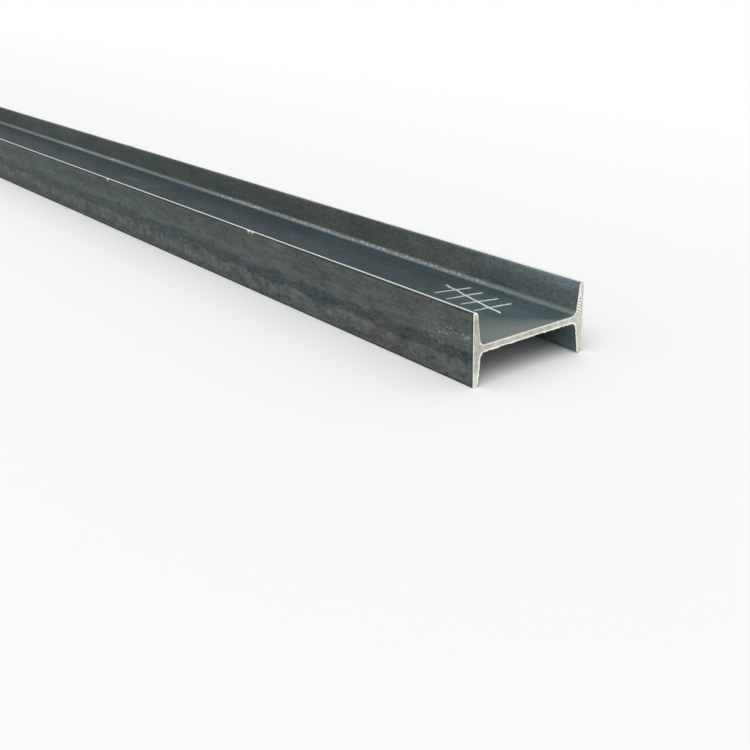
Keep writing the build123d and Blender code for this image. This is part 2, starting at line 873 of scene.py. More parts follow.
@dataclass(frozen=True)
class Window:
    """Where a value counts: smoothly from 0 at start to 1 when full, which may lie below the start.

    A window with a far side falls again, from 1 at fade to 0 at stop.
    """

    start: float
    full: float
    fade: float | None = None
    stop: float | None = None


@dataclass(frozen=True)
class Pattern:
    """A noise that a finish reads, with the size of its blots along X, Y and Z in metres.

    The shift moves it, so that two patterns of the same grain differ. A pattern with an edge is how far
    its noise is inside that window.
    """

    grain: tuple[float, float, float]
    detail: float = 3.0
    roughness: float = 0.55
    distortion: float = 0.0
    shift: float = 0.0
    edge: Window | None = None


@dataclass(frozen=True)
class Paint:
    """A colour that is laid over another, and how much of it shows at most."""

    colour: Colour
    most: float = 1.0


class Number:
    """A number in a node tree. Python's operators on it add Math nodes."""

    def __init__(self, board: "Board", socket: bpy.types.NodeSocket) -> None:
        """Wraps a socket."""
        self.board = board
        self.socket = socket

    def math(self, operation: str, *others: "Amount", swap: bool = False) -> "Number":
        """Adds a Math node.

        Args:
            operation: The node's operation.
            others: Its further inputs.
            swap: Puts this number after the first of the others.

        Returns:
            The result.
        """
        values = [self, *others]
        if swap:
            values = [others[0], self, *others[1:]]
        node = self.board.node("ShaderNodeMath", {"operation": operation}, dict(enumerate(values)))
        return Number(self.board, node.outputs[0])

    def __add__(self, other: "Amount") -> "Number":
        """Sum."""
        return self.math("ADD", other)

    __radd__ = __add__

    def __sub__(self, other: "Amount") -> "Number":
        """Difference."""
        return self.math("SUBTRACT", other)

    def __rsub__(self, other: "Amount") -> "Number":
        """Difference from a plain number."""
        return self.math("SUBTRACT", other, swap=True)

    def __mul__(self, other: "Amount") -> "Number":
        """Product."""
        return self.math("MULTIPLY", other)

    __rmul__ = __mul__

    def __truediv__(self, other: "Amount") -> "Number":
        """Quotient."""
        return self.math("DIVIDE", other)

    def __abs__(self) -> "Number":
        """Size without the sign."""
        return self.math("ABSOLUTE")

    def sine(self) -> "Number":
        """Sine of the number in radians."""
        return self.math("SINE")

    def hypot(self, other: "Number") -> "Number":
        """Length of a vector with these two parts."""
        return (self * self + other * other).math("SQRT")

    def at_least(self, other: "Amount") -> "Number":
        """The larger of the two."""
        return self.math("MAXIMUM", other)

    def at_most(self, other: "Amount") -> "Number":
        """The smaller of the two."""
        return self.math("MINIMUM", other)

    def step(self, low: float, high: float) -> "Number":
        """Adds a smooth step.

        Args:
            low: Where the step is 0. It may be above high, for a falling step.
            high: Where the step is 1.

        Returns:
            The step, from 0 to 1.
        """
        if low > high:
            return 1 - self.step(high, low)
        settings = {"interpolation_type": "SMOOTHSTEP"}
        inputs = {"Value": self, "From Min": low, "From Max": high, "To Min": 0.0, "To Max": 1.0}
        return Number(self.board, self.board.node("ShaderNodeMapRange", settings, inputs).outputs[0])

    def within(self, window: Window) -> "Number":
        """How far the number is inside a window, from 0 to 1."""
        share = self.step(window.start, window.full)
        return share if window.stop is None else share * self.step(window.stop, window.fade)


Amount = Union[Number, float, int]
Tint = Union[Colour, bpy.types.NodeSocket]


def weighted(weights: Weights, *numbers: Number) -> Number:
    """The first weight, plus each number times the weight of its own."""
    return sum((weight * number for weight, number in zip(weights[1:], numbers)), start=weights[0])


class Board:
    """A node tree and the few ways in which it is filled."""

    def __init__(self, tree: bpy.types.NodeTree) -> None:
        """Empties the tree.

        Args:
            tree: The tree of a material or of the world.
        """
        self.tree = tree
        tree.nodes.clear()

    def node(
        self, kind: str, settings: dict[str, Any] | None = None, inputs: dict[Any, Any] | None = None
    ) -> bpy.types.Node:
        """Adds a node.

        Args:
            kind: Its type.
            settings: Its properties, which are set first.
            inputs: The value or the link of each of its sockets, by name or by number.

        Returns:
            The node.
        """
        made = self.tree.nodes.new(kind)
        for name, value in (settings or {}).items():
            setattr(made, name, value)
        for key, value in (inputs or {}).items():
            source = value.socket if isinstance(value, Number) else value
            if isinstance(source, bpy.types.NodeSocket):
                self.tree.links.new(source, made.inputs[key])
            elif made.inputs[key].type == "RGBA":
                made.inputs[key].default_value = (*source, 1.0)
            else:
                made.inputs[key].default_value = source
        return made

    @cached_property
    def place(self) -> bpy.types.NodeSocket:
        """Object coordinates."""
        return self.node("ShaderNodeTexCoord").outputs["Object"]

    def axes(self, vector: bpy.types.NodeSocket) -> tuple[Number, Number, Number]:
        """The three numbers of a vector."""
        split = self.node("ShaderNodeSeparateXYZ", inputs={0: vector})
        return tuple(Number(self, output) for output in split.outputs)

    def noise(self, pattern: Pattern) -> Number:
        """Adds a noise that is read at the object coordinates over the pattern's grain.

        Args:
            pattern: The size of its blots and its other settings.

        Returns:
            The noise, from about 0 to 1, or how far it is inside the pattern's edge.
        """
        settings = {"operation": "MULTIPLY_ADD"}
        inputs = {0: self.place, 1: tuple(1 / size for size in pattern.grain), 2: even(pattern.shift)}
        inputs = {
            "Vector": self.node("ShaderNodeVectorMath", settings, inputs).outputs[0],
            "Scale": 1.0,
            "Detail": pattern.detail,
            "Roughness": pattern.roughness,
            "Distortion": pattern.distortion,
        }
        noise = Number(self, self.node("ShaderNodeTexNoise", inputs=inputs).outputs[0])
        return noise.within(pattern.edge) if pattern.edge else noise

    def swing(self, pattern: Pattern) -> Number:
        """Noise from about -0.5 to 0.5."""
        return self.noise(pattern) - 0.5

    def mix(self, share: Amount, low: Tint, high: Tint) -> bpy.types.NodeSocket:
        """A colour between two others."""
        settings = {"data_type": "RGBA"}
        return self.node("ShaderNodeMix", settings, {0: share, 6: low, 7: high}).outputs[2]

    def lay(self, paint: Paint, where: Number, colour: Tint) -> bpy.types.NodeSocket:
        """A colour with a paint over it, which shows by its own most times a number."""
        return self.mix(paint.most * where, colour, paint.colour)

    def scale(self, colour: Tint, factor: Amount) -> bpy.types.NodeSocket:
        """A colour made lighter or darker."""
        settings = {"operation": "SCALE"}
        return self.node("ShaderNodeVectorMath", settings, {0: colour, 3: factor}).outputs[0]

    def bump(self, height: Number, distance: float) -> bpy.types.NodeSocket:
        """A normal tilted by a height from 0 to 1, where 1 stands for a distance in metres."""
        return self.node("ShaderNodeBump", inputs={"Height": height, "Distance": distance}).outputs[0]

    def surface(self, inputs: dict[str, Any]) -> None:
        """Ends a material's tree with a Principled shader that has these inputs."""
        shader = self.node("ShaderNodeBsdfPrincipled", inputs=inputs)
        self.node("ShaderNodeOutputMaterial", inputs={"Surface": shader.outputs[0]})


class BeamBoard(Board):
    """The node tree of one of the beam's finishes, with the places and the masks that it reads there."""

    def __init__(self, tree: bpy.types.NodeTree, beam: RolledBeam) -> None:
        """Empties the tree and splits the place into X, Y and Z.

        Args:
            tree: The material's tree.
            beam: The beam that is dressed.
        """
        super().__init__(tree)
        self.beam = beam
        self.x, self.y, self.z = self.axes(self.place)

    @cached_property
    def up(self) -> Number:
        """Height over the middle of the web."""
        return self.z - self.beam.web_height

    @cached_property
    def end_gap(self) -> Number:
        """Distance from the nearer end."""
        return self.beam.length / 2 - abs(self.x)

    def mask(self, mask: Mask) -> Number:
        """One of the beam's point attributes."""
        node = self.node("ShaderNodeAttribute", {"attribute_name": mask.value})
        return Number(self, node.outputs["Fac"])

    def patch(self, across: Window, up: Window) -> Number:
        """1 in a patch of the section, by the windows of Y and of the height that it fills."""
        return self.y.within(across) * self.up.within(up)


@dataclass(frozen=True)
class GroundColour:
    """Ground of the mill scale: olive or green outside, greyer inside, darkest on the web.

    The web's end is paler, a painted reflection, and the inner faces near the ends are paler, painted
    light.
    Away from the ends the web is painted lighter beside its roots, against the flanges' shade. A window is
    a distance from the nearer end, except tip_light, which is a height from the middle of the web, and
    web_side, which is a place across the section.
    """

    olive: Colour = (0.074, 0.086, 0.080)
    green: Colour = (0.058, 0.077, 0.073)
    inside: Colour = (0.103, 0.112, 0.103)
    # Painted light: paler inner faces near the open ends
    inside_cool: Colour = (0.091, 0.113, 0.112)
    inside_end_light: Colour = (0.107, 0.138, 0.143)
    web: Colour = (0.037, 0.050, 0.062)
    web_teal: Colour = (0.037, 0.056, 0.059)
    # Painted reflection: paler web near the ends
    web_end_reflection_tone: Colour = (0.062, 0.094, 0.100)
    drift: Pattern = Pattern((0.55, 0.07, 0.05))
    shade: Pattern = Pattern((0.17, 0.05, 0.06), detail=4, shift=18.0)
    hue: Pattern = Pattern((0.26, 0.10, 0.10), shift=19.0, edge=Window(0.38, 0.62))
    green_from_end: Window = Window(0.35, 1.1)
    end_reach: Window = Window(0.30, 0.08)
    tip_light: Window = Window(0.030, 0.046)
    web_side: Window = Window(0.045, 0.074)
    side_from_end: Window = Window(0.08, 0.20)
    # The web's painted reflection fades out over this distance from the end
    web_darkening: Window = Window(0.3, 1.2)
    green_drift: float = 1.6
    end_drift: float = 0.9
    tip_gain: float = 0.4
    web_tone: Weights = (1.08, -0.28, 0.24)
    shade_swing: float = 0.8

    def lay(self, board: BeamBoard) -> bpy.types.NodeSocket:
        """Mixes the ground colour: where it turns to another one drifts with noise.

        Args:
            board: The material's board.

        Returns:
            The colour.
        """
        drift, hue = board.swing(self.drift), board.noise(self.hue)
        greener = (board.end_gap.within(self.green_from_end) + self.green_drift * drift).at_most(1)
        outside = board.mix(greener, self.olive, self.green)
        # Painted light and reflection near the open ends
        end_light = (board.end_gap.within(self.end_reach) + self.end_drift * drift).at_most(1).at_least(0)
        lit_tip = board.scale(self.inside_end_light, 1 + self.tip_gain * abs(board.up).within(self.tip_light))
        inside = board.mix(end_light, board.mix(hue, self.inside, self.inside_cool), lit_tip)
        # Painted light: the web is lighter beside its roots away from the ends, against the flanges' shade
        side = abs(board.y).within(self.web_side) * board.end_gap.within(self.side_from_end)
        web_tone = weighted(self.web_tone, board.end_gap.within(self.web_darkening), side)
        web = board.scale(board.mix(hue, self.web, self.web_teal), web_tone)
        web = board.mix(end_light, web, self.web_end_reflection_tone)
        colour = board.mix(board.mask(Mask.OUTER), inside, outside)
        colour = board.mix(board.mask(Mask.WEB), colour, web)
        return board.scale(colour, 1 + self.shade_swing * board.swing(self.shade))


@dataclass(frozen=True)
class BackBands:
    """Bands along a flange's back: plain above, a pale streaky crest, a deep blue one and a flaked one.

    Brown stains lie over the lower part of the crest and over what is below it, and more of them in a
    stretch near each end. Further on, all bands sink a little. The windows from deep_top on are heights
    over the middle of the web, which wander with noise.
    """

    deep: Paint = Paint((0.042, 0.060, 0.068), 0.9)
    brown: Paint = Paint((0.086, 0.078, 0.066), 0.55)
    crest: Paint = Paint((0.098, 0.118, 0.110))
    flaked: Paint = Paint(THIN_SCALE, 0.65)
    plain_tone: Weights = (-0.05, 0.14)
    crest_share: Weights = (0.25, 0.45)
    spot_shade: float = 0.36
    slow: Pattern = Pattern((0.6, 0.5, 9.0), detail=2)
    blots: Pattern = Pattern((60 * MM, 1.0, 13 * MM), detail=6, roughness=0.68, shift=1.3)
    grit: Pattern = Pattern((8 * MM, 1.0, 5 * MM), roughness=0.6, shift=23.0)
    streaks: Pattern = Pattern(
        (90 * MM, 1.0, 9 * MM), detail=5, roughness=0.65, shift=5.1, edge=Window(0.38, 0.66)
    )
    peeled: Pattern = Pattern(
        (30 * MM, 1.0, 30 * MM), detail=5, roughness=0.62, shift=8.2, edge=Window(0.38, 0.60)
    )
    spots: Pattern = Pattern((16 * MM, 1.0, 7 * MM), shift=20.0, edge=Window(0.50, 0.66))
    stains: Pattern = Pattern((70 * MM, 1.0, 22 * MM), detail=4, shift=24.0)
    stain_edge: Window = Window(0.52, 0.66)
    stained_stretch: Window = Window(0.02, 0.10, 0.16, 0.32)
    stain_gain: float = 0.11
    sinking: Window = Window(0.4, 0.9)
    sink: float = 6 * MM
    slow_wander: float = 12 * MM
    blot_wander: float = 40 * MM
    grit_wander: float = 22 * MM
    deep_top: Window = Window(-1 * MM, -6 * MM)
    deep_foot: Window = Window(-28 * MM, -17 * MM)
    stain_top: Window = Window(14 * MM, -4 * MM)
    spot_top: Window = Window(10 * MM, -2 * MM)
    crest_height: Window = Window(-4 * MM, 4 * MM, 10 * MM, 21 * MM)
    flaked_height: Window = Window(-47 * MM, -35 * MM, -24 * MM, -17 * MM)

    def lay(self, board: BeamBoard, colour: Tint) -> tuple[bpy.types.NodeSocket, Number]:
        """Lays the bands over the backs of the flanges.

        Args:
            board: The material's board.
            colour: The ground colour.

        Returns:
            The colour, and how much of it is the deep band.
        """
        outer, end_gap = board.mask(Mask.OUTER), board.end_gap
        wander = self.slow_wander * board.swing(self.slow) + self.blot_wander * board.swing(self.blots)
        level = board.up + wander - self.sink * end_gap.within(self.sinking)
        ragged_level = level + self.grit_wander * board.swing(self.grit)
        band = outer * ragged_level.within(self.deep_top) * level.within(self.deep_foot)
        streaks = board.noise(self.streaks)
        stains = board.noise(self.stains) + self.stain_gain * end_gap.within(self.stained_stretch)
        stains = stains.within(self.stain_edge) * level.within(self.stain_top)
        spots = board.noise(self.spots) * level.within(self.spot_top)
        crest = level.within(self.crest_height) * weighted(self.crest_share, streaks)
        peeled = board.noise(self.peeled) * level.within(self.flaked_height)
        colour = board.scale(colour, 1 + outer * weighted(self.plain_tone, streaks))
        colour = board.lay(self.brown, outer * stains, board.lay(self.deep, band, colour))
        colour = board.scale(colour, 1 - self.spot_shade * outer * spots)
        colour = board.lay(self.crest, outer * crest, colour)
        return board.lay(self.flaked, outer * peeled, colour), band


@dataclass(frozen=True)
class ScaleFlakes:
    """Paler spots where scale has come off: sparse patches, and a swarm of specks beside the cuts."""

    thin: Paint = Paint(THIN_SCALE, 0.8)
    fleck: Paint = Paint((0.300, 0.340, 0.310), 0.72)
    fleck_gain: float = 1.3
    patches: Pattern = Pattern(
        (30 * MM, 30 * MM, 60 * MM), detail=6, roughness=0.62, distortion=0.5, edge=Window(0.62, 0.66)
    )
    sparse: Pattern = Pattern((0.4, 0.3, 0.2), detail=1, shift=2.2, edge=Window(0.45, 0.60))
    specks: Pattern = Pattern(
        (5.5 * MM, 4.5 * MM, 4.5 * MM), detail=2, shift=6.4, edge=Window(0.52, 0.63)
    )
    swarm: Pattern = Pattern((32 * MM, 32 * MM, 26 * MM), detail=2, shift=4.5, edge=Window(0.37, 0.57))
    dust: Pattern = Pattern(even(3.4 * MM), detail=1, shift=9.9, edge=Window(0.68, 0.76))
    speck_reach: Window = Window(0.11, 0.04)
    speck_height: Window = Window(-18 * MM, 0.0, 10 * MM, 27 * MM)

    def lay(self, board: BeamBoard, colour: Tint) -> tuple[bpy.types.NodeSocket, Number]:
        """Lays the flakes on all rolled faces, and the specks on the backs of the flanges.

        Args:
            board: The material's board.
            colour: The colour so far.

        Returns:
            The colour, and where the scale is off.
        """
        place = board.mask(Mask.OUTER) * board.end_gap.within(self.speck_reach)
        place = place * board.up.within(self.speck_height)
        specks = board.noise(self.specks) * board.noise(self.swarm)
        flecks = (self.fleck_gain * specks * place).at_most(1)
        patches = board.noise(self.patches) * board.noise(self.sparse)
        flaked = (patches + board.noise(self.dust)) / 2
        colour = board.lay(self.thin, flaked, colour)
        return board.lay(self.fleck, flecks, colour), flaked.at_least(flecks)


@dataclass(frozen=True)
class EdgeLines:
    """Painted shade lines along the outer edges of the tips and beside the cuts, and a broken pale line.

    The shade line and the ridge lie at a height from the middle of the web, and fade away from it.
    """

    pale: Paint = Paint(THIN_SCALE, 0.4)
    # Painted shade under the rounded outer edges and beside the cuts
    shade_line_strength: float = 0.45
    shade_line_height: float = 49.2 * MM
    shade_line_fade: Window = Window(1.6 * MM, 0.5 * MM)
    ridge_height: float = 45.6 * MM
    ridge_fade: Window = Window(1.4 * MM, 0.4 * MM)
    beside_cut: Window = Window(4.2 * MM, 1.8 * MM)
    breaks: Pattern = Pattern((0.06, 1.0, 1.0), shift=17.0, edge=Window(0.42, 0.60))

    def lay(self, board: BeamBoard, colour: Tint) -> bpy.types.NodeSocket:
        """Lays the lines.

        Args:
            board: The material's board.
            colour: The colour so far.

        Returns:
            The colour.
        """
        outer, height = board.mask(Mask.OUTER), abs(board.up)
        shade_line = outer * abs(height - self.shade_line_height).within(self.shade_line_fade)
        ridge = outer * abs(height - self.ridge_height).within(self.ridge_fade)
        # Painted shade: dark lines under the rounded outer edges and beside the cuts
        shade_lines = shade_line.at_least(board.end_gap.within(self.beside_cut))
        colour = board.scale(colour, 1 - self.shade_line_strength * shade_lines)
        return board.lay(self.pale, ridge * board.noise(self.breaks), colour)


@dataclass(frozen=True)
class WebEndReflection:
    """Painted reflection beside the cut: a greyer wedge across the web that is wider at its -Y side."""

    # Paler colour that stands in for a reflection on the web near the cut
    grey: Paint = Paint((0.178, 0.199, 0.190), 0.9)
    middle_reach: float = 74 * MM
    slant: float = 1.15
    blur_depth: float = 40 * MM
    least_reach: float = 8 * MM
    most_reach: float = 115 * MM
    fade: Window = Window(-0.05, 0.95)
    blur: Pattern = Pattern(even(24 * MM), detail=4, shift=7.7)

    def lay(self, board: BeamBoard, colour: Tint) -> bpy.types.NodeSocket:
        """Lays the wedge: it reaches middle_reach - slant * Y from the end, and noise blurs that.

        Args:
            board: The material's board.
            colour: The colour so far.

        Returns:
            The colour.
        """
        reach = self.middle_reach - self.slant * board.y + self.blur_depth * board.swing(self.blur)
        reach = reach.at_least(self.least_reach).at_most(self.most_reach)
        share = (1 - board.end_gap / reach).within(self.fade)
        return board.lay(self.grey, share * board.mask(Mask.WEB), colour)


@dataclass(frozen=True)
class Rubbing:
    """Rubbed places and painted highlights: the tips of the flanges, bare and under a painted highlight,
    the speckled line in each root, whose pale thread is partly a painted highlight on the fillet, and the
    burr.

    The weights are those of the noise along the beam, the patchy noise and the scours, as far as each
    is used. The tip's are those of the patchy noise alone.
    """

    # Bare steel, and along the flange tips also a painted highlight
    worn_and_glint: Paint = Paint((0.87, 0.94, 0.87))
    bead: Paint = Paint((0.66, 0.63, 0.60), 0.75)
    root_grey: Paint = Paint((0.150, 0.184, 0.174))
    # Pale thread in the root: partly speckled rubbed scale, partly a painted highlight on the fillet
    root_crest_and_glint: Paint = Paint((0.290, 0.345, 0.320))
    haze_weights: Weights = (0.16, 0.45, 0.65, 0.25)
    thread_weights: Weights = (0.05, 0.30, 0.25)
    tip_weights: Weights = (0.66, 0.8)
    rim_bareness: float = 0.9
    bead_bareness: float = 0.5
    along: Pattern = Pattern((0.16, 0.1, 0.1), detail=2, shift=11.0)
    patchy: Pattern = Pattern((8 * MM, 5 * MM, 5 * MM), detail=4, roughness=0.65, shift=12.0)
    blobs: Pattern = Pattern(
        (6 * MM, 4.5 * MM, 4.5 * MM), detail=4, roughness=0.7, shift=13.0, edge=Window(0.50, 0.60)
    )
    haze_width: Window = Window(0.36, 0.60)
    thread_width: Window = Window(0.58, 0.86)
    bead_width: Window = Window(0.60, 0.82)
    bead_stretch: Window = Window(0.10, 0.7)

    def lay(self, board: BeamBoard, colour: Tint) -> tuple[bpy.types.NodeSocket, Number]:
        """Lays haze, a paler thread that is partly a painted highlight and bright beads in the roots, and
        bare steel where it is rubbed, which on the flange tips is also a painted highlight.

        Args:
            board: The material's board.
            colour: The colour so far.

        Returns:
            The colour, and how much of it is bare steel, the painted highlight on the tips included.
        """
        root, scour = board.mask(Mask.ROOT), board.mask(Mask.SCOUR)
        along, patchy = board.noise(self.along), board.noise(self.patchy)
        haze = root.within(self.haze_width) * weighted(self.haze_weights, along, patchy, scour).at_most(1)
        # Pale thread along each fillet, partly a painted highlight
        thread = root.within(self.thread_width) * weighted(self.thread_weights, along, patchy)
        beads = root.within(self.bead_width) * board.noise(self.blobs) * scour.within(self.bead_stretch)
        # The tips: rubbed bare steel under a painted highlight
        tip = board.mask(Mask.TIP) * weighted(self.tip_weights, patchy).at_most(1)
        bare = (tip + self.rim_bareness * board.mask(Mask.RIM)).at_most(1)
        colour = board.lay(self.root_crest_and_glint, thread, board.lay(self.root_grey, haze, colour))
        colour = board.lay(self.worn_and_glint, bare, board.lay(self.bead, beads, colour))
        return colour, bare.at_least(self.bead_bareness * beads)


@dataclass(frozen=True)
class Stroke:
    """A straight mark on a flat face, between two pairs: distance from the near end, and place across."""

    start: tuple[float, float]
    stop: tuple[float, float]
    half_width: float = 1.8 * MM
    softness: float = 0.5
    start_strength: float = 0.65

    def drawn(self, along: Number, across: Number) -> Number:
        """1 on the stroke and 0 away from it, and fainter at its start.

        With h the clamped share along the line, the distance from it is the length of
        (point - start - h * (stop - start)).

        Args:
            along: Distance of each place from the near end.
            across: Its place across.

        Returns:
            How much it is marked.
        """
        (x0, y0), (x1, y1) = self.start, self.stop
        run, rise = x1 - x0, y1 - y0
        from_x, from_y = along - x0, across - y0
        share = ((from_x * run + from_y * rise) / (run * run + rise * rise)).at_least(0).at_most(1)
        gap = (from_x - share * run).hypot(from_y - share * rise)
        line = gap.step((1 + self.softness) * self.half_width, (1 - self.softness) * self.half_width)
        return line * (self.start_strength + (1 - self.start_strength) * share)


@dataclass(frozen=True)
class DrawnMarks:
    """Chalk tally of four strokes and one across them on the web's upper face, and faint rubs."""

    chalk: Paint = Paint((0.86, 0.92, 0.92), 0.95)
    rubbed: Paint = Paint(THIN_SCALE, 0.45)
    tally: tuple[Stroke, ...] = (
        Stroke((0.205, 0.010), (0.188, 0.062)),
        Stroke((0.172, 0.004), (0.158, 0.060)),
        Stroke((0.140, 0.006), (0.124, 0.058)),
        Stroke((0.108, 0.000), (0.096, 0.056)),
        Stroke((0.222, 0.046), (0.078, 0.018)),
    )
    web_rubs: tuple[Stroke, ...] = (
        Stroke((1.289, 0.035), (1.240, 0.028), 8 * MM),
        Stroke((1.180, 0.003), (1.160, 0.036), 5 * MM),
        Stroke((1.118, 0.005), (1.070, 0.040), 2.5 * MM),
        Stroke((3.260, -0.020), (3.180, 0.024), 4 * MM),
    )
    flange_rubs: tuple[Stroke, ...] = (Stroke((1.450, 0.044), (1.394, 0.048), 5 * MM),)
    sway: Pattern = Pattern(even(25 * MM), detail=2, shift=14.0)
    grit: Pattern = Pattern(even(1.6 * MM), detail=2, shift=15.0, edge=Window(0.22, 0.54))
    rough: Pattern = Pattern((24 * MM, 6 * MM, 5 * MM), detail=4, shift=22.0, edge=Window(0.30, 0.62))
    chalk_sway: float = 6 * MM
    rub_sway: float = 20 * MM
    upper_face: Window = Window(0.0, 2 * MM)
    inner_face: Window = Window(85 * MM, 88 * MM)

    @staticmethod
    def drawn(along: Number, across: Number, strokes: tuple[Stroke, ...]) -> Number:
        """The largest of all strokes at each place."""
        return reduce(Number.at_least, [stroke.drawn(along, across) for stroke in strokes])

    def lay(self, board: BeamBoard, colour: Tint) -> tuple[bpy.types.NodeSocket, Number]:
        """Draws the marks. The tally and the rubs on the web sway, and one rub is inside the +Y flange.

        Args:
            board: The material's board.
            colour: The colour so far.

        Returns:
            The colour, and where chalk covers it.
        """
        x, y = board.beam.length / 2 - board.x, board.y
        sway, above = board.swing(self.sway), board.up.within(self.upper_face)
        dust = self.drawn(x - self.chalk_sway * sway, y + self.chalk_sway * sway, self.tally)
        dust = dust * board.noise(self.grit) * above
        rubbed = self.drawn(x - self.rub_sway * sway, y + self.rub_sway * sway, self.web_rubs)
        inner = y.within(self.inner_face) * (1 - board.mask(Mask.OUTER))
        on_flange = self.drawn(x, board.up, self.flange_rubs) * inner
        rubbed = (rubbed * board.mask(Mask.WEB) * above).at_least(on_flange)
        colour = board.lay(self.rubbed, rubbed * board.noise(self.rough), colour)
        return board.lay(self.chalk, dust, colour), dust


@dataclass(frozen=True)
class MillScale:
    """Finish of the rolled faces: blue-grey scale in lengthwise bands, rubbed pale where it stands out,
    with painted highlights on the tips and the fillets, painted shade lines and painted sheen near the
    ends.

    The grains' weights are those of the outer face and of the web. The roughness takes the mottle, the
    flakes, the deep band, the chalk and the bare steel, and the height takes both grains and the flakes.
    """

    beam: RolledBeam
    ground: GroundColour = GroundColour()
    bands: BackBands = BackBands()
    flakes: ScaleFlakes = ScaleFlakes()
    edges: EdgeLines = EdgeLines()
    web_end_reflection: WebEndReflection = WebEndReflection()
    rubbing: Rubbing = Rubbing()
    marks: DrawnMarks = DrawnMarks()
    mottle: Pattern = Pattern((42 * MM, 14 * MM, 12 * MM), detail=5, roughness=0.68)
    fine: Pattern = Pattern((7 * MM, 3 * MM, 2.8 * MM), roughness=0.65)
    mottle_weights: Weights = (0.50, 0.80, -0.10)
    fine_weights: Weights = (1.6, -0.15)
    roughness: Weights = (0.46, 0.16, 0.10, -0.06, 0.25, -0.10)
    height: Weights = (0.0, 0.5, 0.3, 0.4)
    metal: float = 0.3
    relief: float = 0.35 * MM
    gloss: float = 0.08

    def material(self) -> bpy.types.Material:
        """Builds the finish, layer by layer.

        Returns:
            The material.
        """
        material = new_material("mill_scale")
        board = BeamBoard(material.node_tree, self.beam)
        mottle, fine = board.noise(self.mottle), board.noise(self.fine)
        outer, web = board.mask(Mask.OUTER), board.mask(Mask.WEB)
        slow_grain = (mottle - 0.5) * weighted(self.mottle_weights, outer, web)
        fine_grain = (fine - 0.5) * weighted(self.fine_weights, outer)

        colour, band = self.bands.lay(board, self.ground.lay(board))
        colour, flaked = self.flakes.lay(board, colour)
        colour = board.scale(colour, 1 + slow_grain + fine_grain)
        # Painted shade lines along the edges, then the painted reflection at the web's end
        colour = self.web_end_reflection.lay(board, self.edges.lay(board, colour))
        colour, bare = self.rubbing.lay(board, colour)
        colour, dust = self.marks.lay(board, colour)
        board.surface({
            "Base Color": colour,
            "Roughness": weighted(self.roughness, mottle, flaked, band, dust, bare),
            "Metallic": self.metal * bare,
            "Specular IOR Level": self.gloss,
            "Normal": board.bump(weighted(self.height, mottle, fine, flaked), self.relief),
        })
        return material


